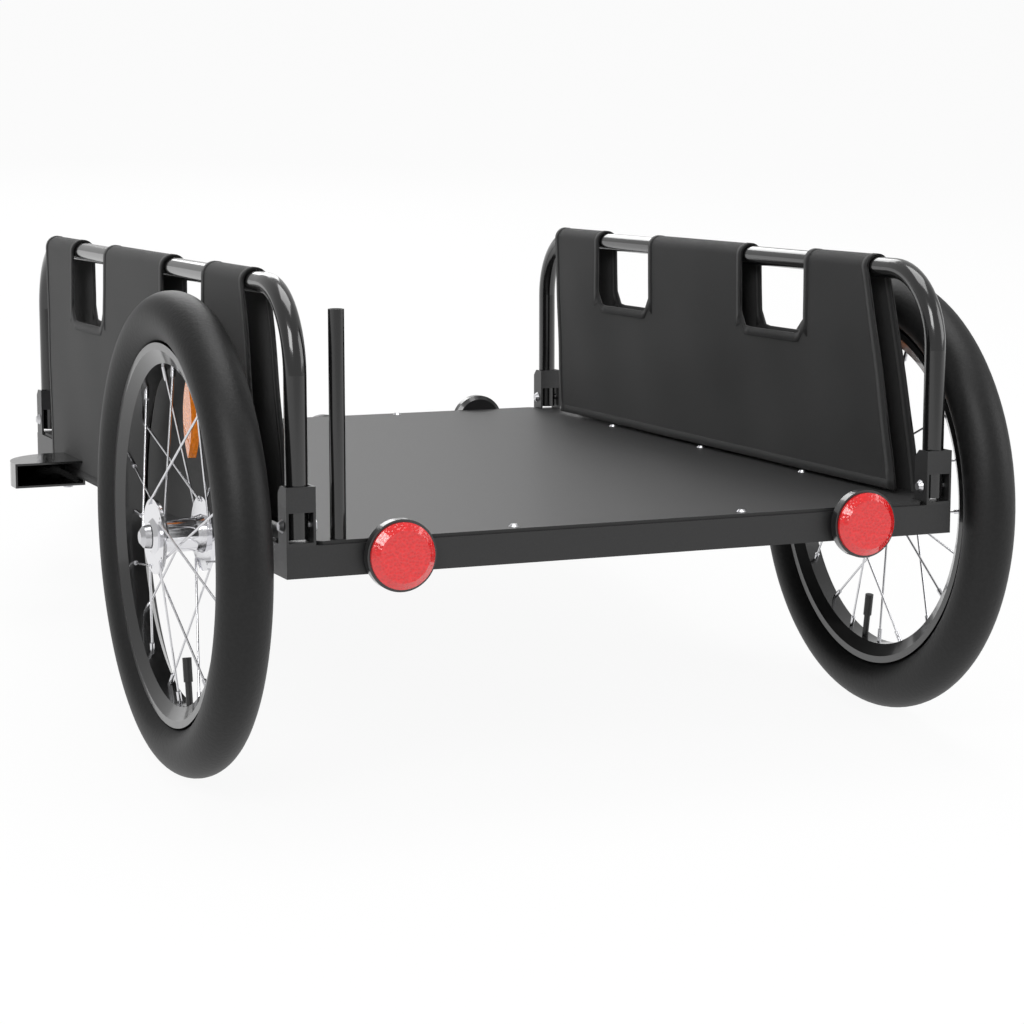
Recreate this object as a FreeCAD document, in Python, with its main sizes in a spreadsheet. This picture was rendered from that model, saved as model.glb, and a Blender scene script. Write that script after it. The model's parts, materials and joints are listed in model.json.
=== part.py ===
import FreeCAD, Part
import math
import os

import Sketcher
from FreeCAD import Placement, Rotation, Vector

# A flat two-wheeled bicycle cargo trailer, in millimetres. It is drawn level: X to the right, Y forward
# from the back of the bed, Z up from the top of the frame. Every piece is then laid on its wheels and on
# the end of its drawbar, nose down, the way the trailer stands when it is off the bicycle.

doc = FreeCAD.newDocument("BicycleCargoTrailer")
sheet = doc.addObject("Spreadsheet::Sheet", "Sizes")

sizeRows = (
    ("bedWidth", 596, "frame, outside width"),
    ("bedLength", 831, "frame, outside length"),
    ("memberWidth", 30, "frame tube, lying"),
    ("memberHeight", 25, "frame tube, standing"),
    ("memberWall", 1.5, "frame tube, wall"),
    ("deckThick", 3, "deck panel"),
    ("deckInset", 1.5, "deck edge, back from the frame's face"),
    ("deckCut", 30, "deck corners, cut off"),
    ("deckRoom", 1, "deck, room around the rail brackets"),
    ("screwHead", 4.5, "deck screw, head radius"),
    ("screwRise", 1.8, "deck screw, head height"),
    ("screwShank", 2, "deck screw, shank radius"),
    ("screwPitchAcross", 206, "deck screws, spacing across the ends"),
    ("screwPitchAlong", 203, "deck screws, spacing along the sides"),
    ("screwInset", 13, "deck screws, end rows in from the frame's face"),
    ("screwSideInset", 24, "deck screws, side rows in from the frame's face"),
    ("tubeRadius", 9, "side rail tube, outside radius"),
    ("tubeWall", 1.5, "side rail tube, wall"),
    ("railRise", 197, "side rail, middle of its top run over the frame"),
    ("railBend", 66, "side rail, bend radius of the middle line"),
    ("plateThick", 2, "folded sheet steel"),
    ("bracketRise", 46, "rail bracket, height"),
    ("bracketBand", 20, "rail bracket, closed band at its top"),
    ("bracketLip", 2.5, "rail bracket, closed lip at its foot"),
    ("bracketDepth", 20, "rail bracket, front to back"),
    ("bracketGap", 1, "rail bracket, room at each side of the tube"),
    ("bracketSlope", 6, "rail bracket, top corner taken off its sides"),
    ("footRise", 5, "side rail, end of the tube over the frame"),
    ("boltRadius", 3, "bracket bolt"),
    ("boltRise", 15, "bracket bolt, over the frame"),
    ("boltHead", 5.5, "bracket bolt, head radius"),
    ("boltHeadRise", 3, "bracket bolt, head and nut height"),
    ("boltRoom", 0.2, "bracket bolt, room in its holes"),
    ("wheelRadius", 200, "tyre, outside"),
    ("tyreSection", 22, "tyre, section radius"),
    ("rimRadius", 158, "rim, edge under the tyre"),
    ("rimInner", 141, "rim, spoke side"),
    ("rimWidth", 27, "rim, width at the tyre"),
    ("rimNarrow", 15, "rim, width at the spokes"),
    ("wheelOffset", 333.5, "wheel, middle plane from the middle of the bed"),
    ("axleForward", 172, "axle, forward of the bed's back"),
    ("axleDrop", 12.5, "axle, below the frame's top"),
    ("axleRadius", 6, "axle"),
    ("axleRoom", 0.05, "axle, room in the hub"),
    ("axleTube", 10, "cross tube that takes the axles, radius"),
    ("axleTubeWall", 2, "cross tube, wall"),
    ("axleReach", 45, "axle, length inside the cross tube"),
    ("hubFlange", 31, "hub, flange radius"),
    ("hubFlangeThick", 3, "hub, flange thickness"),
    ("hubSpread", 20.5, "hub, flange from its middle"),
    ("hubBarrel", 14, "hub, barrel radius"),
    ("hubHalf", 25, "hub, half length"),
    ("capRadius", 10, "axle end cap, radius"),
    ("capRise", 8, "axle end cap, height"),
    ("sideGap", 0.5, "hub, room at each end"),
    ("spokeCount", 20, "spokes in a wheel"),
    ("spokeRadius", 1, "spoke"),
    ("nippleRadius", 2, "spoke nipple"),
    ("nippleLength", 12, "spoke nipple"),
    ("spokeSweep", 50, "spoke, degrees between its two ends"),
    ("reflectorRadius", 28.7, "round reflector, housing"),
    ("reflectorDepth", 11, "round reflector, housing"),
    ("reflectorLens", 26.5, "round reflector, lens radius"),
    ("reflectorBulge", 7, "round reflector, lens height"),
    ("reflectorOffset", 207.5, "round reflectors, from the middle"),
    ("reflectorDrop", 10.5, "round reflectors, below the frame's top"),
    ("middleOffset", 24, "middle front reflector, from the middle"),
    ("middleDrop", 24.5, "middle front reflector, below the frame's top"),
    ("holderRadius", 6.3, "flagpole holder, radius"),
    ("holderWall", 1.2, "flagpole holder, wall"),
    ("holderRise", 178, "flagpole holder, over the deck"),
    ("holderOffset", 253, "flagpole holder, from the middle"),
    ("holderInset", 9, "flagpole holder, in from the frame's back"),
    ("panelThick", 1.8, "side panel fabric, doubled and hemmed"),
    ("panelRoom", 0.6, "side panel, clear of the tube and frame"),
    ("panelBack", 107, "side panel, back edge at the rail"),
    ("panelFront", 772, "side panel, front edge at the rail"),
    ("panelBackLow", 46, "side panel, back edge at the frame"),
    ("panelFrontLow", 752, "side panel, front edge at the frame"),
    ("openingWidth", 122, "side panel, hand opening"),
    ("openingMiddle", 161, "side panel, openings from its middle"),
    ("openingDrop", 67, "side panel, openings below the rail"),
    ("boxBack", 628, "side bracket, back edge from the bed's back"),
    ("boxLength", 75, "side bracket, along the frame"),
    ("boxReach", 69, "side bracket, out from the frame"),
    ("boxRound", 58, "side bracket, corner radius"),
    ("boxHeight", 24, "side bracket, height"),
    ("boxDrop", 6.5, "side bracket, below the frame's top"),
    ("pivotOffset", 27, "drawbar bolt, in from the frame's side"),
    ("pivotInset", 19, "drawbar bolt, back from the frame's front"),
    ("pivotRadius", 5, "drawbar bolt"),
    ("gussetSide", 74, "gusset under the corner, side"),
    ("gussetThick", 4, "gusset under the corner"),
    ("barWidth", 30, "drawbar tube, lying"),
    ("barHeight", 20, "drawbar tube, standing"),
    ("barWall", 2, "drawbar tube, wall"),
    ("barTail", 36, "drawbar, behind its bolt"),
    ("barFlat", 62, "drawbar, level run ahead of its bolt"),
    ("barRun", 430, "drawbar, sloping run"),
    ("barTurn", 23.5, "drawbar, degrees to the right"),
    ("barDroop", 4, "drawbar, degrees down past its level run"),
    ("cheekLength", 44, "hitch fork, length"),
    ("cheekThick", 4, "hitch fork, cheek"),
    ("couplerGap", 0.5, "hitch coupler, room in the fork"),
    ("pinRadius", 5, "hitch pin"),
    ("pinRoom", 0.05, "hitch pin, room in the coupler"),
    ("couplerLength", 74, "hitch coupler, pin to axle hole"),
    ("couplerPlate", 5, "hitch coupler, plate"),
    ("couplerHole", 5.1, "hitch coupler, axle hole radius"),
)
for row, (alias, value, note) in enumerate(sizeRows, start=1):
    sheet.set(f"A{row}", note)
    sheet.set(f"B{row}", str(value))
    sheet.setAlias(f"B{row}", alias)
doc.recompute()

subParts = []          # (object, its place on the level trailer)
level = Placement()
ahead = Rotation(Vector(1, 0, 0), -90)       # turns a solid made along Z to lie along Y
sideways = Rotation(Vector(0, 1, 0), 90)     # turns a solid made along Z to lie along X


def size(name):
    return float(sheet.get(name))


def bound(text):
    """The expression text, with every size in it read from the sheet."""
    words = text
    for alias in sorted((row[0] for row in sizeRows), key=len, reverse=True):
        words = words.replace(f"<{alias}>", f"Sizes.{alias}")
    return words


def bind(thing, **sizes):
    for name, text in sizes.items():
        thing.setExpression(name, bound(text))
    return thing


def at(thing, x, y, z, turn=Rotation()):
    thing.Placement = Placement(Vector(), turn)
    for axis, text in zip("xyz", (x, y, z)):
        thing.setExpression(f"Placement.Base.{axis}", bound(text))
    return thing


def block(name, length, width, height, x, y, z):
    return at(bind(doc.addObject("Part::Box", name), Length=length, Width=width, Height=height), x, y, z)


def rod(name, radius, height, x, y, z, turn=Rotation()):
    return at(bind(doc.addObject("Part::Cylinder", name), Radius=radius, Height=height), x, y, z, turn)


def fuse(name, *shapes):
    thing = doc.addObject("Part::MultiFuse", name)
    thing.Shapes = list(shapes)
    return thing


def group(name, *shapes):
    thing = doc.addObject("Part::Compound", name)
    thing.Links = list(shapes)
    return thing


def cut(name, base, *tools):
    thing = doc.addObject("Part::Cut", name)
    thing.Base = base
    thing.Tool = tools[0] if len(tools) == 1 else group(name + "Tools", *tools)
    return thing


def common(name, first, second):
    thing = doc.addObject("Part::MultiCommon", name)
    thing.Shapes = [first, second]
    return thing


def keep(label, thing, place=level):
    """Takes an object as a sub-part; its label names its file."""
    thing.Label = label
    subParts.append((thing, place))
    return thing


def loop(sketch, corners):
    """A closed outline of straight edges; each corner is a pair of bound expressions."""
    first = sketch.GeometryCount
    count = len(corners)
    start = [Vector(*(float(sketch.evalExpression(bound(text))) for text in corner), 0) for corner in corners]
    for step in range(count):
        sketch.addGeometry(Part.LineSegment(start[step], start[(step + 1) % count]))
    for step in range(count):
        after = first + (step + 1) % count
        sketch.addConstraint(Sketcher.Constraint("Coincident", first + step, 2, after, 1))
    for step, (x, y) in enumerate(corners):
        for kind, text, value in (("DistanceX", x, start[step].x), ("DistanceY", y, start[step].y)):
            which = sketch.addConstraint(Sketcher.Constraint(kind, -1, 1, first + step, 1, value))
            sketch.setExpression(f"Constraints[{which}]", bound(text))


def prism(name, turn, outlines, length, x="0", y="0", z="0", both=False):
    """Straight-edged outlines, the first one solid and the others open, carried along their normal."""
    sketch = at(doc.addObject("Sketcher::SketchObject", name + "Outline"), x, y, z, turn)
    for corners in outlines:
        loop(sketch, corners)
    thing = doc.addObject("Part::Extrusion", name)
    thing.Base = sketch
    thing.DirMode = "Normal"
    thing.Solid = True
    thing.Symmetric = both
    thing.setExpression("LengthFwd", bound(length))
    return thing


def newSketch(body, name, plane):
    sketch = body.newObject("Sketcher::SketchObject", name)
    origin = next(part for part in body.Origin.OriginFeatures if part.Role == plane)
    sketch.AttachmentSupport = [(origin, "")]
    sketch.MapMode = "FlatFace"
    return sketch


def turned(label, corners, place=level):
    """A body turned about X; the outline's first number runs along X, its second is the radius."""
    body = doc.addObject("PartDesign::Body", label)
    sketch = newSketch(body, "Outline", "XY_Plane")
    loop(sketch, corners)
    turn = body.newObject("PartDesign::Revolution", "Turn")
    turn.Profile = sketch
    turn.ReferenceAxis = (sketch, ["H_Axis"])
    turn.Angle = 360
    return keep(label, body, place)


def rectangle(x0, x1, y0, y1):
    return [(x0, y0), (x1, y0), (x1, y1), (x0, y1)]


upright = Rotation(Vector(1, 0, 0), 90)                          # a sketch seen from behind: X and Z
endOn = Rotation(Vector(0, 0, 1), 90) * upright                  # a sketch seen from the right: Y and Z


# Frame: four mitred rectangular tubes, one more across the middle and a round one at the axles


def member(label, length, turn, x, y):
    """A tube along X, cut at 45 degrees at both ends, its outer face towards -Y."""
    half = f"{length} / 2"
    plan = [(f"-{half}", "0"), (half, "0"), (f"{half} - <memberWidth>", "<memberWidth>"),
            (f"<memberWidth> - {half}", "<memberWidth>")]
    solid = prism(label + "Plan", Rotation(), [plan], "<memberHeight>", z="-<memberHeight>")
    inside = block(label + "Inside", length, "<memberWidth> - 2 * <memberWall>",
                   "<memberHeight> - 2 * <memberWall>", f"-{half}", "<memberWall>",
                   "<memberWall> - <memberHeight>")
    return cut(label + "Tube", solid, inside), Placement(Vector(x, y, 0), Rotation(Vector(0, 0, 1), turn))


halfWidth = size("bedWidth") / 2
for label, length, turn, x, y in (
    ("rear_member", "<bedWidth>", 0, 0, 0),
    ("front_member", "<bedWidth>", 180, 0, size("bedLength")),
):
    keep(label, *member(label, length, turn, x, y))

for side, label, turn in ((-1, "side_member_left", -90), (1, "side_member_right", 90)):
    tube, place = member(label, "<bedLength>", turn, side * halfWidth, size("bedLength") / 2)
    shift = "<axleForward> - <bedLength> / 2"
    hole = rod(label + "Bore", "<axleRadius> + <axleRoom>", "<memberWidth>",
               shift if side > 0 else f"-({shift})", "0", "-<axleDrop>", ahead)
    keep(label, cut(label + "Bored", tube, hole), place)

across = "<bedWidth> - 2 * <memberWidth>"
crossAt = ("-<bedWidth> / 2 + <memberWidth>", "(<bedLength> - <memberWidth>) / 2")
keep("middle_member", cut(
    "MiddleTube",
    block("MiddleOuter", across, "<memberWidth>", "<memberHeight>", *crossAt, "-<memberHeight>"),
    block("MiddleInner", across, "<memberWidth> - 2 * <memberWall>", "<memberHeight> - 2 * <memberWall>",
          crossAt[0], crossAt[1] + " + <memberWall>", "<memberWall> - <memberHeight>"),
))
keep("axle_tube", cut(
    "AxleTube",
    rod("AxleTubeOuter", "<axleTube>", across, crossAt[0], "<axleForward>", "-<axleDrop>", sideways),
    rod("AxleTubeInner", "<axleTube> - <axleTubeWall>", across, crossAt[0], "<axleForward>", "-<axleDrop>",
        sideways),
))


# Deck: one sheet screwed to the frame, its corners cut off for the rail brackets


def deckOutline():
    side, back = "<bedWidth> / 2 - <deckInset>", "<deckInset>"
    notch = "(<bedWidth> / 2 - 2 * (<tubeRadius> + <bracketGap> + <plateThick>) - <deckRoom>)"
    deep = "(2 * <tubeRadius> + 2 * <plateThick> + <deckRoom>)"
    line = "(<bedWidth> / 2 - <deckCut> - <deckInset>)"       # the cut edge runs along x - y = line
    corner = [("<bedWidth> / 2 - <deckCut>", back), (notch, f"{notch} - {line}"), (notch, deep),
              (f"{line} + {deep}", deep), (side, "<deckCut>")]
    right = corner + [(x, f"<bedLength> - ({y})") for x, y in reversed(corner)]
    return right + [(f"-({x})", y) for x, y in reversed(right)]


screwPlaces = [(f"{end} * <screwPitchAcross> / 2", y) for end in (-1, 1)
               for y in ("<screwInset>", "<bedLength> - <screwInset>")]
screwPlaces += [(f"{side} * (<bedWidth> / 2 - <screwSideInset>)", f"<bedLength> / 2 + {step} * <screwPitchAlong>")
                for side in (-1, 1) for step in (-1, 0, 1)]
deckHoles = [rod(f"DeckHole{n}", "<screwShank>", "<deckThick>", x, y, "0")
             for n, (x, y) in enumerate(screwPlaces)]
deckHoles.append(rod("DeckHolderHole", "<holderRadius>", "<deckThick>", "-<holderOffset>", "<holderInset>", "0"))
keep("deck_panel", cut("Deck", prism("DeckSheet", Rotation(), [deckOutline()], "<deckThick>"), *deckHoles))
screws = []
for number, (x, y) in enumerate(screwPlaces):
    shank = rod(f"Shank{number}", "<screwShank>", "<deckThick>", x, y, "0")
    head = bind(doc.addObject("Part::Cone", f"Head{number}"), Radius1="<screwHead>",
                Radius2="<screwHead> * 0.6", Height="<screwRise>")
    screws.append(fuse(f"Screw{number}", shank, at(head, x, y, "<deckThick>")))
keep("deck_screws", group("DeckScrews", *screws))


# Side rails: one bent tube each, standing in four folded brackets on the frame

railIn = "(<tubeRadius> + <bracketGap> + <plateThick>)"          # rail's middle line in from the frame's face
bracketWidth = "(2 * (<tubeRadius> + <bracketGap> + <plateThick>))"


def railBody(label, side):
    """The tube, carried along a path in the plane of the rail and bored by a thinner one."""
    body = doc.addObject("PartDesign::Body", label)
    foot, top, bend = size("footRise"), size("railRise"), size("railBend")
    inset = size("tubeRadius") + size("plateThick")
    back, front = inset, size("bedLength") - inset
    path = newSketch(body, "Path", "YZ_Plane")
    corner = bend * (1 - math.sqrt(0.5))
    runs = [
        Part.LineSegment(Vector(back, foot, 0), Vector(back, top - bend, 0)),
        Part.Arc(Vector(back, top - bend, 0), Vector(back + corner, top - corner, 0), Vector(back + bend, top, 0)),
        Part.LineSegment(Vector(back + bend, top, 0), Vector(front - bend, top, 0)),
        Part.Arc(Vector(front - bend, top, 0), Vector(front - corner, top - corner, 0), Vector(front, top - bend, 0)),
        Part.LineSegment(Vector(front, top - bend, 0), Vector(front, foot, 0)),
    ]
    for run in runs:
        path.addGeometry(run)
    # An arc counts its ends anticlockwise, so both arcs meet the runs end for end
    for first, second in (((0, 2), (1, 2)), ((1, 1), (2, 1)), ((2, 2), (3, 2)), ((3, 1), (4, 1))):
        path.addConstraint(Sketcher.Constraint("Tangent", *first, *second))
    path.addConstraint(Sketcher.Constraint("Vertical", 0))
    path.addConstraint(Sketcher.Constraint("Vertical", 4))
    path.addConstraint(Sketcher.Constraint("Horizontal", 2))
    path.addConstraint(Sketcher.Constraint("Equal", 1, 3))
    for kind, geometry, end, value, text in (
        ("DistanceX", 0, 1, back, "<tubeRadius> + <plateThick>"),
        ("DistanceY", 0, 1, foot, "<footRise>"),
        ("DistanceY", 2, 1, top, "<railRise>"),
        ("DistanceX", 4, 2, front, "<bedLength> - <tubeRadius> - <plateThick>"),
        ("DistanceY", 4, 2, foot, "<footRise>"),
    ):
        which = path.addConstraint(Sketcher.Constraint(kind, -1, 1, geometry, end, value))
        path.setExpression(f"Constraints[{which}]", bound(text))
    which = path.addConstraint(Sketcher.Constraint("Radius", 1, bend))
    path.setExpression(f"Constraints[{which}]", bound("<railBend>"))

    section = newSketch(body, "Section", "XY_Plane")
    section.AttachmentOffset = Placement(Vector(0, back, foot), Rotation())
    section.setExpression("AttachmentOffset.Base.y", bound("<tubeRadius> + <plateThick>"))
    section.setExpression("AttachmentOffset.Base.z", bound("<footRise>"))
    for radius, text in ((size("tubeRadius"), "<tubeRadius>"),
                         (size("tubeRadius") - size("tubeWall"), "<tubeRadius> - <tubeWall>")):
        ring = section.addGeometry(Part.Circle(Vector(), Vector(0, 0, 1), radius))
        section.addConstraint(Sketcher.Constraint("Coincident", ring, 3, -1, 1))
        which = section.addConstraint(Sketcher.Constraint("Radius", ring, radius))
        section.setExpression(f"Constraints[{which}]", bound(text))
    doc.recompute()
    pipe = body.newObject("PartDesign::AdditivePipe", "Tube")
    pipe.Profile = section
    pipe.Spine = path
    doc.recompute()

    # The bolt holes at both feet
    holes = newSketch(body, "BoltHoles", "YZ_Plane")
    rise = size("boltRise")
    for value, x in ((back, "<tubeRadius> + <plateThick>"), (front, "<bedLength> - <tubeRadius> - <plateThick>")):
        ring = holes.addGeometry(Part.Circle(Vector(value, rise, 0), Vector(0, 0, 1), size("boltRadius")))
        for kind, number, text in (("DistanceX", value, x), ("DistanceY", rise, "<boltRise>")):
            which = holes.addConstraint(Sketcher.Constraint(kind, -1, 1, ring, 3, number))
            holes.setExpression(f"Constraints[{which}]", bound(text))
        which = holes.addConstraint(Sketcher.Constraint("Radius", ring, size("boltRadius")))
        holes.setExpression(f"Constraints[{which}]", bound("<boltRadius> + <boltRoom>"))
    doc.recompute()
    drill = body.newObject("PartDesign::Pocket", "Drill")
    drill.Profile = holes
    drill.Type = "ThroughAll"
    drill.Midplane = True
    keep(label, body, Placement(Vector(side * (halfWidth - size("tubeRadius") - size("bracketGap")
                                               - size("plateThick")), 0, 0), Rotation()))


def bracket(label, side, y):
    """A folded box, open ahead, with a window in its back; the bolt runs across it."""
    x0 = "-<bedWidth> / 2" if side < 0 else f"<bedWidth> / 2 - {bracketWidth}"
    inner = f"{bracketWidth} - 2 * <plateThick>"
    slope = [("0", "0"), ("<bracketDepth>", "0"), ("<bracketDepth>", "<bracketRise> - <bracketSlope>"),
             ("<bracketDepth> - <bracketSlope>", "<bracketRise>"), ("0", "<bracketRise>")]
    outer = prism(label + "Outer", endOn, [slope], bracketWidth, x=x0, y=y)
    hollow = block(label + "Hollow", inner, "<bracketDepth>", "<bracketRise>", f"{x0} + <plateThick>",
                   f"{y} + <plateThick>", "<plateThick>")
    window = block(label + "Window", inner, "<plateThick>", "<bracketRise> - <bracketBand> - <bracketLip>",
                   f"{x0} + <plateThick>", y, "<bracketLip>")
    bore = rod(label + "Bore", "<boltRadius> + <boltRoom>", bracketWidth, x0,
               f"{y} + <plateThick> + <tubeRadius>", "<boltRise>", sideways)
    keep(label, cut(label + "Folded", outer, hollow, window, bore))


def bracketBolt(name, side, y):
    """A bolt across the bracket, a domed head on its left and a nut on its right."""
    x0 = "-<bedWidth> / 2" if side < 0 else f"<bedWidth> / 2 - {bracketWidth}"
    line = f"{y} + <plateThick> + <tubeRadius>"
    shank = rod(name + "Shank", "<boltRadius>", f"{bracketWidth} + 2 * <boltHeadRise>",
                f"{x0} - <boltHeadRise>", line, "<boltRise>", sideways)
    head = bind(doc.addObject("Part::Cone", name + "Head"), Radius1="<boltHead> * 0.6", Radius2="<boltHead>",
                Height="<boltHeadRise>")
    at(head, f"{x0} - <boltHeadRise>", line, "<boltRise>", sideways)
    nut = bind(doc.addObject("Part::Prism", name + "Nut"), Circumradius="<boltHead>", Height="<boltHeadRise>")
    nut.Polygon = 6
    at(nut, f"{x0} + {bracketWidth}", line, "<boltRise>", sideways)
    return fuse(name, shank, head, nut)


bracketRows = (("rear", "0"), ("front", "(<bedLength> - 2 * <tubeRadius> - 2 * <plateThick>)"))
bolts = []
for side, hand in ((-1, "left"), (1, "right")):
    railBody(f"rail_{hand}", side)
    for end, y in bracketRows:
        bracket(f"rail_bracket_{end}_{hand}", side, y)
        bolts.append(bracketBolt(f"Bolt{end}{hand}", side, y))
keep("bracket_bolts", group("BracketBolts", *bolts))


# Side panels: fabric over the rail, its outer layer down to the foot of the frame, its inner one to the deck


def sidePanel(label, side):
    mirror = "" if side > 0 else "-"
    rail = f"(<bedWidth> / 2 - {railIn})"
    near, far = "(<tubeRadius> + <panelRoom>)", "(<tubeRadius> + <panelRoom> + <panelThick>)"
    face = "(<bedWidth> / 2 + <panelRoom>)"

    def hand(corners):
        return [(f"{mirror}({x})", z) for x, z in corners]

    outer = [(f"{rail} + {near}", "<railRise>"), (f"{rail} + {far}", "<railRise>"),
             (f"{face} + <panelThick>", "<bracketRise>"), (f"{face} + <panelThick>", "-<memberHeight>"),
             (face, "-<memberHeight>"), (face, "<bracketRise>")]
    inner = [(f"{rail} - {near}", "<railRise>"), (f"{rail} - {far}", "<railRise>"),
             (f"{rail} - {far}", "<deckThick> + <screwRise> + <panelRoom>"),
             (f"{rail} - {near}", "<deckThick> + <screwRise> + <panelRoom>")]
    layers = [prism(f"{label}{name}", upright, [hand(corners)], "<bedLength>", y="<bedLength>")
              for name, corners in (("OuterLayer", outer), ("InnerLayer", inner))]
    ring = cut(label + "Ring",
               rod(label + "Over", far, "<bedLength>", f"{mirror}{rail}", "0", "<railRise>", ahead),
               rod(label + "Under", near, "<bedLength>", f"{mirror}{rail}", "0", "<railRise>", ahead),
               block(label + "Below", "4 * <tubeRadius>", "<bedLength>", "4 * <tubeRadius>",
                     f"{mirror}{rail} - 2 * <tubeRadius>", "0", "<railRise> - 4 * <tubeRadius>"))
    cloth = fuse(label + "Layers", *layers, ring)
    top = "<railRise> + 3 * <tubeRadius>"
    sideOutline = [("<panelBackLow>", "-<memberHeight>"), ("<panelFrontLow>", "-<memberHeight>"),
                   ("<panelFront>", "<railRise>"), ("<panelFront>", top), ("<panelBack>", top),
                   ("<panelBack>", "<railRise>")]
    middle = "(<panelBack> + <panelFront>) / 2"
    openings = [rectangle(f"{middle} + {end} * <openingMiddle> - <openingWidth> / 2",
                          f"{middle} + {end} * <openingMiddle> + <openingWidth> / 2",
                          "<railRise> - <openingDrop>", "<railRise> + 2 * <tubeRadius>") for end in (-1, 1)]
    shape = prism(label + "Side", endOn, [sideOutline] + openings, "<bedWidth> / 2 + 4 * <panelThick>",
                  x="0" if side > 0 else "-<bedWidth> / 2 - 4 * <panelThick>")
    # Cut round the axle's collar, and on the left above the side bracket too
    gone = [rod(label + "AxleHole", "<axleRadius> * 1.7 + <panelRoom>", "8 * <panelThick>",
                f"{mirror}<bedWidth> / 2 - 4 * <panelThick>", "<axleForward>", "-<axleDrop>", sideways)]
    if side < 0:
        gone.append(block(label + "BracketNotch", "8 * <panelThick>", "<boxLength> + 2 * <panelRoom>",
                          "<memberHeight>", "-<bedWidth> / 2 - 4 * <panelThick>", "<boxBack> - <panelRoom>",
                          "<panelRoom> - <boxDrop> - <memberHeight>"))
    keep(label, cut(label + "Trimmed", common(label + "Cloth", cloth, shape), *gone))


sidePanel("side_panel_left", -1)
sidePanel("side_panel_right", 1)


# Round reflectors: a housing flat against the frame and a domed lens in it


def reflector(end, hand, x, drop):
    """Both pieces are turned about X, then swung so that they face back or forward."""
    turn, y = (90, 0) if end == "rear" else (-90, size("bedLength"))
    place = Placement(Vector(x, y, -size(drop)), Rotation(Vector(0, 0, 1), turn))
    rim, seat = "<reflectorRadius>", "<reflectorDepth> - 2"
    name = f"{end}_reflector_{hand}" if hand else f"{end}_reflector_middle"
    # Pieces grow towards -X, which the turn swings to face outwards
    turned(f"{name}_housing", [("0", "0"), ("0", f"{rim} - 4"), ("-3", rim), ("-<reflectorDepth>", rim),
                               ("-<reflectorDepth>", "<reflectorLens>"), (f"-({seat})", "<reflectorLens>"),
                               (f"-({seat})", "0")], place)
    turned(f"{name}_lens", [(f"-({seat})", "0"), (f"-({seat})", "<reflectorLens>"),
                            ("-<reflectorDepth> - <reflectorBulge> * 0.35", "<reflectorLens>"),
                            ("-<reflectorDepth> - <reflectorBulge>", "<reflectorLens> * 0.78"),
                            ("-<reflectorDepth> - <reflectorBulge>", "0")], place)


for hand, sign in (("left", -1), ("right", 1)):
    for end in ("rear", "front"):
        reflector(end, hand, sign * size("reflectorOffset"), "reflectorDrop")
reflector("front", "", size("middleOffset"), "middleDrop")

holder = ("-<holderOffset>", "<holderInset>")
keep("flagpole_holder", cut(
    "Holder",
    rod("HolderOuter", "<holderRadius>", "<deckThick> + <holderRise>", *holder, "0"),
    rod("HolderBore", "<holderRadius> - <holderWall>", "<holderRise>", *holder, "<deckThick> + 4"),
))


# Side bracket: a folded box on the left side member, open behind and rounded ahead


def roundedPlan(name, less, back, height, z):
    """The bracket's plan, drawn in by less all round except at its back, which lies at back."""
    reach, length = size("boxReach") - less, size("boxLength") - less
    radius = max(size("boxRound") - less, 1)
    x0, y0 = -halfWidth, size("boxBack")
    far, front = x0 - reach, y0 + length
    corner = radius * (1 - math.sqrt(0.5))
    near = x0 - less
    edges = [
        Part.LineSegment(Vector(near, back, z), Vector(far, back, z)),
        Part.LineSegment(Vector(far, back, z), Vector(far, front - radius, z)),
        Part.Arc(Vector(far, front - radius, z), Vector(far + corner, front - corner, z),
                 Vector(far + radius, front, z)),
        Part.LineSegment(Vector(far + radius, front, z), Vector(near, front, z)),
        Part.LineSegment(Vector(near, front, z), Vector(near, back, z)),
    ]
    face = Part.Face(Part.Wire([edge.toShape() for edge in edges]))
    thing = doc.addObject("Part::Feature", name)      # an outline of lines and one arc, from the sheet's sizes
    thing.Shape = face.extrude(Vector(0, 0, height))
    return thing


boxTop, plate = -size("boxDrop"), size("plateThick")
boxFoot = boxTop - size("boxHeight")
keep("side_bracket", cut(
    "SideBracket",
    roundedPlan("SideBracketOuter", 0, size("boxBack"), size("boxHeight"), boxFoot),
    roundedPlan("SideBracketInner", plate, size("boxBack") - plate, size("boxHeight") - 2 * plate, boxFoot + plate),
))


# Drawbar: a rectangular tube bolted under a gusset at the left front corner, level under the frame and
# then falling a little towards the fork that carries the hitch coupler

pivot = Vector(-halfWidth + size("pivotOffset"), size("bedLength") - size("pivotInset"), -size("memberHeight"))
gussetFoot = pivot.z - size("gussetThick")
gusset = prism("Gusset", Rotation(), [[
    ("-<bedWidth> / 2", "<bedLength>"), ("-<bedWidth> / 2", "<bedLength> - <gussetSide>"),
    ("-<bedWidth> / 2 + <gussetSide>", "<bedLength>")]], "<gussetThick>", z="-<memberHeight> - <gussetThick>")
pivotAt = ("-<bedWidth> / 2 + <pivotOffset>", "<bedLength> - <pivotInset>")
keep("corner_gusset", cut("BoredGusset", gusset,
                          rod("GussetBore", "<pivotRadius>", "<gussetThick>", *pivotAt,
                              "-<memberHeight> - <gussetThick>")))
nut = bind(doc.addObject("Part::Prism", "PivotNut"), Circumradius="<pivotRadius> * 1.7", Height="<pivotRadius>")
nut.Polygon = 6
boltFoot = "-<memberHeight> - <gussetThick> - <barHeight>"
at(nut, *pivotAt, f"{boltFoot} - <pivotRadius>")
keep("drawbar_bolt", fuse(
    "DrawbarBolt",
    rod("DrawbarBoltShank", "<pivotRadius>", "<gussetThick> + <barHeight> + <pivotRadius> + 3", *pivotAt,
        f"{boltFoot} - <pivotRadius> - 3"),
    nut,
))


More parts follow.
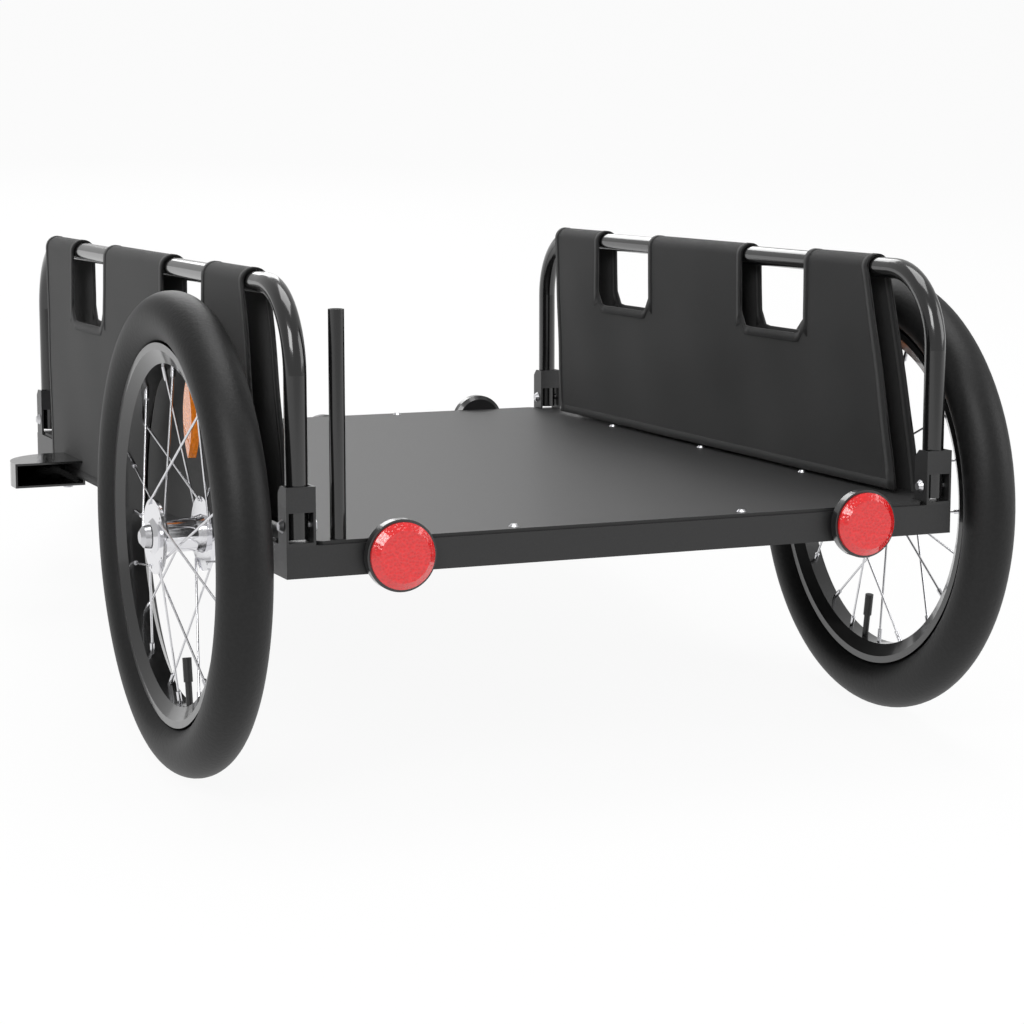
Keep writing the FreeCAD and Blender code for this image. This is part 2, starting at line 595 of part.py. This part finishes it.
def drawbar():
    """A level run and a falling run of tube in one upright plane; its own X runs forward along it."""
    tail, flat, run = size("barTail"), size("barFlat"), size("barRun")
    width, height, wall = size("barWidth"), size("barHeight"), size("barWall")
    droop = math.radians(size("barDroop"))
    fall = Vector(math.cos(droop), 0, -math.sin(droop)) * run
    line = Part.Wire([
        Part.LineSegment(Vector(-tail, 0, 0), Vector(flat, 0, 0)).toShape(),
        Part.LineSegment(Vector(flat, 0, 0), Vector(flat, 0, 0) + fall).toShape(),
    ])

    def tube(inset):
        half, rise = width / 2 - inset, height / 2 - inset
        section = Part.makePolygon([Vector(-tail, y, z) for y, z in
                                    ((-half, -rise), (half, -rise), (half, rise), (-half, rise), (-half, -rise))])
        return line.makePipeShell([section], True, False, 1)     # the last number mitres the bend

    bore = Part.makeCylinder(size("pivotRadius"), 2 * height, Vector(0, 0, -height))
    shape = tube(0).cut(tube(wall)).cut(bore)
    return shape, Vector(flat, 0, 0) + fall


barMiddle = gussetFoot - size("barHeight") / 2
heading = Rotation(Vector(0, 0, 1), 90 - size("barTurn"))
barPlace = Placement(Vector(pivot.x, pivot.y, barMiddle), heading)
barShape, barEnd = drawbar()
bar = doc.addObject("Part::Feature", "DrawbarTube")     # a mitred tube on a path that bends, from the sheet
bar.Shape = barShape
keep("drawbar", bar, barPlace)

# Everything at the hitch is drawn from the drawbar's end: X along the falling run
droopTurn = Rotation(Vector(0, 1, 0), size("barDroop"))
hitchPlace = barPlace.multiply(Placement(barEnd, droopTurn))
cheeks = [block(f"Cheek{n}", "<cheekLength>", "<barWidth>", "<cheekThick>", "0", "-<barWidth> / 2", z)
          for n, z in enumerate(("<barHeight> / 2 - <cheekThick>", "-<barHeight> / 2"))]
web = block("ForkWeb", "<cheekThick>", "<barWidth>", "<barHeight>", "0", "-<barWidth> / 2", "-<barHeight> / 2")
pinAt = ("<cheekLength> - <barWidth> / 2", "0")
keep("hitch_fork", cut("Fork", fuse("ForkPlates", *cheeks, web),
                       rod("ForkBore", "<pinRadius>", "<barHeight>", *pinAt, "-<barHeight> / 2")), hitchPlace)
keep("hitch_pin", fuse(
    "HitchPin",
    rod("HitchPinShank", "<pinRadius>", "<barHeight> + 2", *pinAt, "-<barHeight> / 2 - 2"),
    rod("HitchPinHead", "<pinRadius> * 1.6", "3", *pinAt, "<barHeight> / 2"),
    rod("HitchPinFoot", "<pinRadius> * 1.4", "2", *pinAt, "-<barHeight> / 2 - 2"),
), hitchPlace)
eyeHeight = "(<barHeight> - 2 * <cheekThick> - 2 * <couplerGap>)"
eye = rod("CouplerEye", "<barWidth> / 2 - 2", eyeHeight, "0", "0", f"-{eyeHeight} / 2")
shank = block("CouplerShank", "<couplerLength> * 0.5", "<couplerPlate> * 2", eyeHeight, "<pinRadius>",
              "-<couplerPlate>", f"-{eyeHeight} / 2")
plateRise = "<barWidth> * 0.9"
blade = block("CouplerBlade", "<couplerLength> - <couplerLength> * 0.4", "<couplerPlate>", plateRise,
              "<couplerLength> * 0.4", "0", f"-{plateRise} / 2")
tip = rod("CouplerTip", f"{plateRise} / 2", "<couplerPlate>", "<couplerLength>", "0", "0", ahead)
couplerPlace = hitchPlace.multiply(Placement(Vector(size("cheekLength") - size("barWidth") / 2, 0, 0),
                                             Rotation(Vector(0, 0, 1), size("barTurn"))))
keep("hitch_coupler", cut(
    "Coupler", fuse("CouplerPieces", eye, shank, blade, tip),
    rod("CouplerPinBore", "<pinRadius> + <pinRoom>", eyeHeight, "0", "0", f"-{eyeHeight} / 2"),
    rod("CouplerAxleBore", "<couplerHole>", "<couplerPlate> * 3", "<couplerLength>", "-<couplerPlate>", "0", ahead),
), couplerPlace)


# Wheels: drawn at their own middle, X pointing outwards, then placed on the axle line


def wheelPlace(side):
    middle = Vector(side * size("wheelOffset"), size("axleForward"), -size("axleDrop"))
    return Placement(middle, Rotation(Vector(0, 0, 1), 0 if side > 0 else 180))


def tyre(hand, place):
    ring = bind(doc.addObject("Part::Torus", f"Tyre{hand}"), Radius1="<wheelRadius> - <tyreSection>",
                Radius2="<tyreSection>")
    ring.Placement = Placement(Vector(), sideways)
    seat = rod(f"TyreSeat{hand}", "<rimRadius>", "4 * <tyreSection>", "-2 * <tyreSection>", "0", "0", sideways)
    keep(f"tyre_{hand}", cut(f"TyreCut{hand}", ring, seat), place)


def spokeEnds(number):
    """A spoke's hub end and rim end: sides and directions alternate, so that pairs cross."""
    count = int(size("spokeCount"))
    side = 1 if number % 2 else -1
    lead = 1 if (number // 2) % 2 else -1
    rimTurn = 2 * math.pi * number / count
    hubTurn = rimTurn + lead * math.radians(size("spokeSweep"))
    hub = size("hubFlange") - 3.5
    x = side * (size("hubSpread") + lead * (size("hubFlangeThick") / 2 + size("spokeRadius")))
    inner = Vector(x, hub * math.cos(hubTurn), hub * math.sin(hubTurn))
    rim = size("rimInner") + 1
    outer = Vector(side * size("rimNarrow") * 0.12, rim * math.cos(rimTurn), rim * math.sin(rimTurn))
    return inner, outer, Vector(-side * lead, 0, 0)


def spokes(hand, place):
    """Straight wires with a hooked end through the flange and a thicker nipple at the rim."""
    wires = []
    for number in range(int(size("spokeCount"))):
        inner, outer, hook = spokeEnds(number)
        run = outer - inner
        wire = Part.makeCylinder(size("spokeRadius"), run.Length, inner, run)
        bend = Part.makeSphere(size("spokeRadius"), inner)
        through = Part.makeCylinder(size("spokeRadius"), size("hubFlangeThick") + 1, inner, hook)
        nipple = Part.makeCylinder(size("nippleRadius"), size("nippleLength"),
                                   outer - run.normalize() * size("nippleLength"), run)
        wires.append(wire.fuse([bend, through, nipple]).removeSplitter())
    thing = doc.addObject("Part::Feature", f"Spokes{hand}")    # slanted wires, each from its own two ends
    thing.Shape = Part.makeCompound(wires)
    keep(f"spokes_{hand}", thing, place)


def hub(hand, place):
    spread, thick = "<hubSpread>", "<hubFlangeThick> / 2"
    bore = "<axleRadius> + <axleRoom>"
    half = [("<hubHalf>", bore), ("<hubHalf>", "<axleRadius> * 1.9"), (f"{spread} + {thick}", "<hubBarrel> + 1"),
            (f"{spread} + {thick}", "<hubFlange>"), (f"{spread} - {thick}", "<hubFlange>"),
            (f"{spread} - {thick}", "<hubBarrel> + 2"), (f"{spread} - 8", "<hubBarrel>")]
    turned(f"hub_{hand}", half + [(f"-({x})", r) for x, r in reversed(half)], place)


def wheelReflector(hand, place):
    """A flat leaf clipped across two spokes, on the side of the wheel that faces the frame."""
    length, width, thick = 66.0, 24.0, 7.0
    middle = (size("rimInner") + size("hubFlange")) / 2 + 10
    leaf = doc.addObject("Part::Feature", f"WheelReflector{hand}")   # a leaf bounded by two arcs
    ends = Vector(0, 0, middle - length / 2), Vector(0, 0, middle + length / 2)
    sides = [Part.Arc(ends[0], Vector(0, sign * width / 2, middle), ends[1]).toShape() for sign in (-1, 1)]
    leaf.Shape = Part.Face(Part.Wire(sides)).extrude(Vector(thick, 0, 0))
    inwards = Placement(Vector(12 - thick - size("hubSpread"), 0, 0), Rotation())
    keep(f"wheel_reflector_{hand}", leaf, place.multiply(inwards))


def valve(hand, place):
    stem = rod(f"ValveStem{hand}", "2.8", "22", "0", "0", "-<rimInner> + 1 - 2")
    cap = rod(f"ValveCap{hand}", "3.8", "20", "0", "0", "-<rimInner> + 20")
    keep(f"valve_{hand}", fuse(f"Valve{hand}", stem, cap),
         place.multiply(Placement(Vector(), Rotation(Vector(1, 0, 0), 9))))


def axle(hand, side):
    """A stub axle through the side member, a spacer inside the hub and a domed cap outside it."""
    inner = "<bedWidth> / 2 - <memberWidth> - <axleReach>"
    outer = "<wheelOffset> + <hubHalf> + <sideGap>"
    corners = [(inner, "0"), (inner, "<axleRadius>"), ("<bedWidth> / 2", "<axleRadius>"),
               ("<bedWidth> / 2", "<axleRadius> * 1.7"),
               ("<wheelOffset> - <hubHalf> - <sideGap>", "<axleRadius> * 1.7"),
               ("<wheelOffset> - <hubHalf> - <sideGap>", "<axleRadius>"), (outer, "<axleRadius>"),
               (outer, "<capRadius>"), (f"{outer} + <capRise> * 0.6", "<capRadius> * 0.9"),
               (f"{outer} + <capRise>", "<capRadius> * 0.5"), (f"{outer} + <capRise>", "0")]
    place = Placement(Vector(0, size("axleForward"), -size("axleDrop")),
                      Rotation(Vector(0, 0, 1), 0 if side > 0 else 180))
    turned(f"axle_{hand}", corners, place)


for hand, side in (("left", -1), ("right", 1)):
    place = wheelPlace(side)
    tyre(hand, place)
    rim = [("<rimWidth> / 2", "<rimRadius>"), ("<rimWidth> / 2", "<rimRadius> - 6"),
           ("<rimNarrow> / 2", "<rimInner>"), ("-<rimNarrow> / 2", "<rimInner>"),
           ("-<rimWidth> / 2", "<rimRadius> - 6"), ("-<rimWidth> / 2", "<rimRadius>")]
    turned(f"rim_{hand}", rim, place)
    hub(hand, place)
    spokes(hand, place)
    wheelReflector(hand, place)
    valve(hand, place)
    axle(hand, side)


# Stand the trailer on its wheels and on the foot of the hitch, then put the middle of its footprint at
# the origin


def checkAll():
    faults = [thing.Label for thing in doc.Objects if "Invalid" in thing.State or "Error" in thing.State]
    faults += [thing.Label for thing, place in subParts if thing.Shape.isNull() or not thing.Shape.isValid()]
    if faults:
        raise RuntimeError("these objects failed: " + ", ".join(faults))


def lowestAhead(turn):
    """How far the lowest piece of the drawbar reaches below the axle line, with the bed turned by turn."""
    axleLine = Vector(0, size("axleForward"), -size("axleDrop"))
    lowest = 0
    for thing, place in subParts:
        if thing.Label.startswith(("drawbar", "hitch")):
            shape = thing.Shape.copy()
            shape.Placement = Placement(Vector(), turn).multiply(Placement(-axleLine, Rotation())).multiply(place)
            lowest = min(lowest, shape.optimalBoundingBox(False, False).ZMin)
    return lowest


doc.recompute()
checkAll()
low, high = 0.0, 30.0
for step in range(30):
    noseDown = (low + high) / 2
    if -lowestAhead(Rotation(Vector(1, 0, 0), -noseDown)) < size("wheelRadius"):
        low = noseDown
    else:
        high = noseDown
parked = Placement(Vector(), Rotation(Vector(1, 0, 0), -noseDown))


def settle(stand):
    for thing, place in subParts:
        thing.Placement = stand.multiply(place)
    doc.recompute()


settle(parked)
box = FreeCAD.BoundBox()
for thing, place in subParts:
    box.add(thing.Shape.optimalBoundingBox(False, False))
settle(Placement(Vector(-box.Center.x, -box.Center.y, -box.ZMin), Rotation()).multiply(parked))

checkAll()
os.makedirs("parts", exist_ok=True)
for thing, place in subParts:
    thing.Shape.exportStep(f"parts/{thing.Label}.step")
print(f"{len(subParts)} sub-parts, nose down {noseDown:.3f} degrees")
coupler = next(thing for thing, place in subParts if thing.Label == "hitch_coupler")
print("coupler hole", coupler.Placement.multVec(Vector(size("couplerLength"), size("couplerPlate") / 2, 0)),
      coupler.Placement.Rotation.multVec(Vector(0, 1, 0)))
print("coupler pin", coupler.Placement.Base, coupler.Placement.Rotation.multVec(Vector(0, 0, 1)))
for name, spot in (("axle", Vector(0, size("axleForward"), -size("axleDrop"))),
                   ("bed back", Vector(0, 0, 0)), ("bed front", Vector(0, size("bedLength"), 0))):
    print(name, subParts[0][0].Placement.multVec(spot))
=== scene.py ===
import json
import math

import bpy
import numpy as np
from mathutils import Matrix, Vector


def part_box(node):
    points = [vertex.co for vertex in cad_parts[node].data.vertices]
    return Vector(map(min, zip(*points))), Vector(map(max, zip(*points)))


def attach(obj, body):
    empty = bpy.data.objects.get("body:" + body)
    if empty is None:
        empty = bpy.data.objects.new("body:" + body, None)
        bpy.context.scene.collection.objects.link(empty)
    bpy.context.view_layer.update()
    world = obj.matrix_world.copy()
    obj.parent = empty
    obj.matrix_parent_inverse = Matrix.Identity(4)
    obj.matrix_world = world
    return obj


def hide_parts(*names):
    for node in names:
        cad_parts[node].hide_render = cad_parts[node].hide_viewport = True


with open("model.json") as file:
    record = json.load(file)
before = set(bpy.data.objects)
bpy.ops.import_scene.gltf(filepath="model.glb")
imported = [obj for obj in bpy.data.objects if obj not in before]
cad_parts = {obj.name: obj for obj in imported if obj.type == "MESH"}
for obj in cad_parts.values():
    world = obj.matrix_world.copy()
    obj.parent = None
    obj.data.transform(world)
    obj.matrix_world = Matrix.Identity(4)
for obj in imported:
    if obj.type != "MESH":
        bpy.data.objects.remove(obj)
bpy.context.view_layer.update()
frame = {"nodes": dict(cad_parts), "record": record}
nodes = frame["nodes"]

# The bed's own frame (metres; X right, Y forward from its back face, Z up from its top) laid nose down
axleLow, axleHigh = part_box("axle_left")
lean = math.radians(5.958)      # nose down, on the hitch
axleY, axleZ = 0.172, -0.0125
turnDown = Matrix.Rotation(-lean, 4, "X")
axleSpot = Vector((0, (axleLow[1] + axleHigh[1]) / 2, (axleLow[2] + axleHigh[2]) / 2))
bed = Matrix.Translation(axleSpot) @ turnDown @ Matrix.Translation((0, -axleY, -axleZ))


def toRow(points):      # rows of bed points, carried into the part's frame
    matrix = np.array(bed)
    return np.asarray(points) @ matrix[:3, :3].T + matrix[:3, 3]


# Materials

def shader(name, colour, rough, metal=0.0, **sockets):
    mat = bpy.data.materials.new(name)
    mat.use_nodes = True
    face = mat.node_tree.nodes["Principled BSDF"]
    face.inputs["Base Color"].default_value = (*colour, 1)
    face.inputs["Roughness"].default_value = rough
    face.inputs["Metallic"].default_value = metal
    for socket, value in sockets.items():
        face.inputs[socket.replace("_", " ")].default_value = value
    return mat, mat.node_tree, face


def add(tree, kind, **values):
    node = tree.nodes.new(kind)
    for key, value in values.items():
        if key[0].isupper():
            node.inputs[key.replace("_", " ")].default_value = value
        else:
            setattr(node, key, value)
    return node


def grain(tree, face, scale, depth, kind="ShaderNodeTexNoise"):      # fine relief, depth in metres
    place = add(tree, "ShaderNodeTexCoord")
    texture = add(tree, kind, Scale=scale)
    bump = add(tree, "ShaderNodeBump", Strength=1.0, Distance=depth)
    tree.links.new(place.outputs["Object"], texture.inputs["Vector"])
    tree.links.new(texture.outputs[0], bump.inputs["Height"])
    tree.links.new(bump.outputs[0], face.inputs["Normal"])
    return texture


def mottle(tree, face, texture, dark, light):      # colour between two shades, by the texture
    ramp = add(tree, "ShaderNodeValToRGB")
    ramp.color_ramp.elements[0].position, ramp.color_ramp.elements[1].position = 0.35, 0.7
    ramp.color_ramp.elements[0].color = (*dark, 1)
    ramp.color_ramp.elements[1].color = (*light, 1)
    tree.links.new(texture.outputs[0], ramp.inputs[0])
    tree.links.new(ramp.outputs[0], face.inputs["Base Color"])


def grey(level):
    return (level, level, level * 1.03)


def powderCoat(name, level, rough):
    mat, tree, face = shader(name, grey(level), rough, Coat_Weight=0.15, Coat_Roughness=0.3)
    texture = grain(tree, face, 900, 0.00004)
    mottle(tree, face, texture, grey(level * 0.85), grey(level * 1.15))
    return mat


def clothMaterial(name, level):
    # Coated woven cloth: two crossed fine waves for the threads and a soft uneven shade
    mat, tree, face = shader(name, grey(level), 0.75, Sheen_Weight=0.1, Sheen_Roughness=0.5)
    place = add(tree, "ShaderNodeTexCoord")
    waves = [add(tree, "ShaderNodeTexWave", Scale=420.0, bands_direction=way) for way in ("Y", "Z")]
    total = add(tree, "ShaderNodeMath", operation="ADD")
    bump = add(tree, "ShaderNodeBump", Strength=0.6, Distance=0.00012)
    for wave, socket in zip(waves, total.inputs):
        tree.links.new(place.outputs["Object"], wave.inputs["Vector"])
        tree.links.new(wave.outputs["Fac"], socket)
    tree.links.new(total.outputs[0], bump.inputs["Height"])
    tree.links.new(bump.outputs[0], face.inputs["Normal"])
    cloud = add(tree, "ShaderNodeTexNoise", Scale=14.0, Detail=4.0)
    tree.links.new(place.outputs["Object"], cloud.inputs["Vector"])
    mottle(tree, face, cloud, grey(level * 0.8), grey(level * 1.25))
    return mat


def lensMaterial(name, colour, paintedGlow):
    # Moulded prism lens: small cells under a clear skin
    mat, tree, face = shader(name, colour, 0.12, Coat_Weight=1.0, Coat_Roughness=0.04)
    texture = grain(tree, face, 420, 0.0004, kind="ShaderNodeTexVoronoi")
    ramp = add(tree, "ShaderNodeValToRGB")
    ramp.color_ramp.elements[0].color = (*[c * 0.75 for c in colour], 1)
    ramp.color_ramp.elements[1].color = (*[min(c * 1.15, 1) for c in colour], 1)
    tree.links.new(texture.outputs["Distance"], ramp.inputs[0])
    tree.links.new(ramp.outputs[0], face.inputs["Base Color"])
    # Painted glow: a faint emission makes the lens shine of itself, though it is no lamp
    face.inputs["Emission Color"].default_value = (*colour, 1)
    face.inputs["Emission Strength"].default_value = paintedGlow
    return mat


def tyreMaterial():
    mat, tree, face = shader("TyreRubber", grey(0.004), 0.5, Specular_IOR_Level=0.35)
    texture = grain(tree, face, 300, 0.0002)
    mottle(tree, face, texture, grey(0.003), grey(0.0055))
    return mat


def metal(name, level, rough):
    mat, tree, face = shader(name, grey(level), rough, 1.0)
    grain(tree, face, 700, 0.00002)
    return mat


def glossPaint(name, level, rough=0.22):
    mat, tree, face = shader(name, grey(level), rough, Coat_Weight=0.7, Coat_Roughness=0.08)
    grain(tree, face, 60, 0.00003)
    return mat


looks = {
    "tyre_rubber": tyreMaterial(),
    "spoke_steel": metal("SpokeSteel", 0.72, 0.22),
    "hub_metal": metal("HubChrome", 0.75, 0.14),
    "rim_black": glossPaint("RimBlack", 0.004, 0.3),
    "valve_cap": powderCoat("ValveCap", 0.01, 0.5),
    "amber_lens": lensMaterial("AmberLens", (0.75, 0.2, 0.012), 0.12),
    "red_lens": lensMaterial("RedLens", (0.62, 0.006, 0.008), 0.12),
    "clear_lens": lensMaterial("ClearLens", (0.6, 0.62, 0.65), 0.0),
    "reflector_housing": glossPaint("ReflectorHousing", 0.012, 0.3),
    "panel_fabric": clothMaterial("PanelFabric", 0.007),
    "deck_sheet": powderCoat("DeckSheet", 0.006, 0.6),
    "zinc_steel": metal("ZincSteel", 0.6, 0.3),
    "axle_steel": metal("AxleSteel", 0.6, 0.25),
    "bracket_steel": powderCoat("BracketSteel", 0.016, 0.42),
    "black_tube": glossPaint("BlackTube", 0.004, 0.18),
    "frame_paint": powderCoat("FramePaint", 0.012, 0.42),
}
for entry in frame["record"]["subparts"]:
    obj = nodes[entry["node"]]
    obj.data.materials.clear()
    obj.data.materials.append(looks[entry["material_slot"]])
print("materials done")


# Side panels

panelSizes = {
    "railX": 0.286, "railZ": 0.197, "wrap": 0.0106, "outerFootX": 0.2996, "foot": -0.025, "deck": 0.006,
    "backTop": 0.107, "frontTop": 0.772, "backLow": 0.046, "frontLow": 0.752,
    "openings": ((0.2175, 0.3395), (0.5395, 0.6615)), "openingFoot": 0.130, "openingRound": 0.014,
    "cornerZ": 0.046, "cornerReach": 0.020, "cornerFade": 0.035, "hem": 0.008, "slack": 0.0016, "thick": 0.0014, "hemThick": 0.0022,
}


def steps(*stops, most=0.009):
    # Every stop, with even steps of about most between them
    line = [stops[0]]
    for a, b in zip(stops, stops[1:]):
        count = max(1, int(round(abs(b - a) / most)))
        line += [a + (b - a) * k / count for k in range(1, count + 1)]
    return np.array(line)


def panelGrid(side):
    # Rows run up the outer layer, over the rail and down the inner layer; columns run along Y between the
    # slanting ends. Each row keeps its height, so the openings' edges are straight lines in it.
    s = panelSizes
    hem, low, top = s["hem"], s["openingFoot"], s["railZ"]
    outerRun = steps(s["foot"], s["foot"] + hem, low - hem, low, top)
    over = np.linspace(0, math.pi, 13)[1:-1]
    innerRun = steps(top, low, low - hem, s["deck"] + hem, s["deck"])
    edge = s["railX"] + s["wrap"]
    outerX = edge + (s["outerFootX"] - edge) * np.clip((top - outerRun) / (top - s["cornerZ"]), 0, 1)
    x = np.concatenate([outerX, s["railX"] + s["wrap"] * np.cos(over),
                        np.full(innerRun.size, s["railX"] - s["wrap"])])
    z = np.concatenate([outerRun, top + s["wrap"] * np.sin(over), innerRun])
    columns = [y for a, b in s["openings"] for y in (a - hem, a, b, b + hem)]
    y0 = steps(s["backTop"], s["backTop"] + hem, *columns, s["frontTop"] - hem, s["frontTop"])
    drop = np.clip((top - z) / (top - s["foot"]), 0, 1)[:, None]
    back = s["backTop"] + (s["backLow"] - s["backTop"]) * drop ** 0.9
    front = s["frontTop"] + (s["frontLow"] - s["frontTop"]) * drop
    first, last = s["openings"][0][0] - hem, s["openings"][-1][1] + hem
    y = np.where(y0 < first, back + (first - back) * (y0 - y0[0]) / (first - y0[0]),
                 np.where(y0 > last, last + (front - last) * (y0 - last) / (y0[-1] - last), y0))
    zz = np.repeat(z[:, None], y0.size, 1)
    # Round the lower corners of the openings: the edge rises in an arc, and the cloth near it with it
    lift = np.zeros(y0.size)
    r = s["openingRound"]
    for a, b in s["openings"]:
        inside = np.minimum(y0 - a, b - y0)
        arc = r - np.sqrt(np.clip(r ** 2 - (r - np.clip(inside, 0, r)) ** 2, 0, None))
        lift = np.maximum(lift, np.where(inside >= 0, arc, r * np.clip(1 + inside / s["cornerReach"], 0, 1)))
    near = np.clip(1 - np.abs(z - low) / s["cornerFade"], 0, 1)[:, None]
    zz = zz + np.where((z <= top)[:, None], near * lift, 0)
    xx = np.repeat(x[:, None], y0.size, 1)
    # Slack: the cloth bows a little between what holds it
    hang = np.sin(np.pi * np.clip((z - s["foot"]) / (top - s["foot"]), 0, 1))[:, None]
    wave = (np.sin(y * 21 + 0.6 + zz * 9) + 0.6 * np.sin(y * 47 - zz * 23) + 0.4 * np.sin(zz * 60 + y * 12))
    outerShare = np.where(np.arange(z.size) < outerRun.size + 5, 0.7, 1.0)[:, None]     # drawn tighter outside
    xx = xx + s["slack"] * 0.6 * wave * hang * outerShare
    cut = np.zeros((z.size - 1, y0.size - 1), bool)
    zMid, yMid = (z[1:] + z[:-1]) / 2, (y0[1:] + y0[:-1]) / 2
    for a, b in s["openings"]:
        cut |= (zMid[:, None] > low) & (yMid > a) & (yMid < b)
    return np.dstack([side * xx, y, zz]), ~cut


def meshFrom(name, grid, kept, thick, mat, flip):
    rows, cols = grid.shape[:2]
    ids = np.arange(rows * cols).reshape(rows, cols)
    quads = np.stack([ids[:-1, :-1], ids[1:, :-1], ids[1:, 1:], ids[:-1, 1:]], -1)[kept]
    if flip:
        quads = quads[:, ::-1]
    used, back = np.unique(quads, return_inverse=True)
    mesh = bpy.data.meshes.new(name)
    mesh.from_pydata(toRow(grid.reshape(-1, 3)[used]).tolist(), [], back.reshape(quads.shape).tolist())
    mesh.polygons.foreach_set("use_smooth", [True] * len(mesh.polygons))
    mesh.materials.append(mat)
    obj = bpy.data.objects.new(name, mesh)
    bpy.context.scene.collection.objects.link(obj)
    solid = obj.modifiers.new("Thickness", "SOLIDIFY")
    solid.thickness, solid.offset = thick, 0
    return obj


def hemMask(kept):
    # Cells with a missing neighbour: the hem lines lie one cell in from each edge
    wide = np.pad(kept, 1)
    rows, cols = kept.shape
    around = [wide[1 + a:1 + a + rows, 1 + b:1 + b + cols] for a in (-1, 0, 1) for b in (-1, 0, 1)]
    return kept & ~np.logical_and.reduce(around)


for hand, side in (("left", -1), ("right", 1)):
    grid, kept = panelGrid(side)
    fabric = looks["panel_fabric"]
    cloth = meshFrom(f"fabric_panel_{hand}", grid, kept, panelSizes["thick"], fabric, side < 0)
    hem = meshFrom(f"fabric_hem_{hand}", grid, hemMask(kept), panelSizes["hemThick"], fabric, side < 0)
    for obj in (cloth, hem):
        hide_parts(f"side_panel_{hand}")
        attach(obj, "trailer")
print("panels done")


# Stage: pale floor, soft lamps, and a camera that leans with the bed

def stageMaterial():
    mat = bpy.data.materials.new("StageFloor")
    mat.use_nodes = True
    tree = mat.node_tree
    tree.nodes.clear()
    out = add(tree, "ShaderNodeOutputMaterial")
    rays = add(tree, "ShaderNodeLightPath")
    white = add(tree, "ShaderNodeEmission", Strength=1.0)
    matt = add(tree, "ShaderNodeBsdfDiffuse", Color=(0.82, 0.82, 0.82, 1))
    mix = add(tree, "ShaderNodeMixShader")
    seen = add(tree, "ShaderNodeMath", operation="MULTIPLY")
    seen.inputs[1].default_value = 0.93      # the rest takes the object's shadow
    either = add(tree, "ShaderNodeMath", operation="MAXIMUM")
    tree.links.new(rays.outputs["Is Camera Ray"], either.inputs[0])
    tree.links.new(rays.outputs["Is Glossy Ray"], either.inputs[1])
    tree.links.new(either.outputs[0], seen.inputs[0])
    tree.links.new(seen.outputs[0], mix.inputs[0])
    tree.links.new(matt.outputs[0], mix.inputs[1])
    tree.links.new(white.outputs[0], mix.inputs[2])
    tree.links.new(mix.outputs[0], out.inputs["Surface"])
    return mat


floorMesh = bpy.data.meshes.new("floor")
reach = 30
floorCorners = [(-reach, -reach, 0), (reach, -reach, 0), (reach, reach, 0), (-reach, reach, 0)]
floorMesh.from_pydata(floorCorners, [], [(0, 1, 2, 3)])
floorMesh.materials.append(stageMaterial())
floor = bpy.data.objects.new("floor", floorMesh)
bpy.context.scene.collection.objects.link(floor)

world = bpy.data.worlds.new("Studio")
bpy.context.scene.world = world
world.use_nodes = True
sky = world.node_tree
rays = add(sky, "ShaderNodeLightPath")
seen = add(sky, "ShaderNodeMath", operation="MAXIMUM")
strength = add(sky, "ShaderNodeMapRange")
strength.inputs["To Min"].default_value = 0.55
strength.inputs["To Max"].default_value = 1.0
sky.links.new(rays.outputs["Is Camera Ray"], seen.inputs[0])
sky.links.new(rays.outputs["Is Transmission Ray"], seen.inputs[1])
sky.links.new(seen.outputs[0], strength.inputs["Value"])
sky.nodes["Background"].inputs["Color"].default_value = (1, 1, 1, 1)
sky.links.new(strength.outputs[0], sky.nodes["Background"].inputs["Strength"])

lamps = (      # name, where it stands, size in metres, watts
    ("key", (-2.2, -2.6, 2.6), 1.6, 60),
    ("fill", (2.6, -1.8, 1.5), 1.8, 24),
    ("top", (0.2, 0.0, 3.0), 2.0, 45),
    ("back", (0.6, 3.0, 1.8), 1.8, 30),
)
for name, spot, span, watts in lamps:
    light = bpy.data.lights.new(name, "AREA")
    light.size, light.energy = span, watts
    lamp = bpy.data.objects.new(name, light)
    lamp.location = spot
    lamp.rotation_euler = (Vector((0, -0.2, 0.2)) - Vector(spot)).to_track_quat("-Z", "Y").to_euler()
    bpy.context.scene.collection.objects.link(lamp)

view = {"x": -0.915, "y": -1.8686, "z": 0.3171, "right": 23.3, "down": 8.4, "lens": 91.25}
camera = bpy.data.objects.new("camera", bpy.data.cameras.new("camera"))
camera.data.lens = view["lens"]
camera.data.sensor_width = 36
camera.data.clip_end = 100
heading = Matrix.Rotation(-math.radians(view["right"]), 4, "Z")
aim = heading @ Matrix.Rotation(math.radians(90 - view["down"]), 4, "X")
camera.matrix_world = bed @ Matrix.Translation((view["x"], view["y"], view["z"])) @ aim
bpy.context.scene.collection.objects.link(camera)
bpy.context.scene.camera = camera
bpy.context.scene.view_settings.view_transform = "Standard"
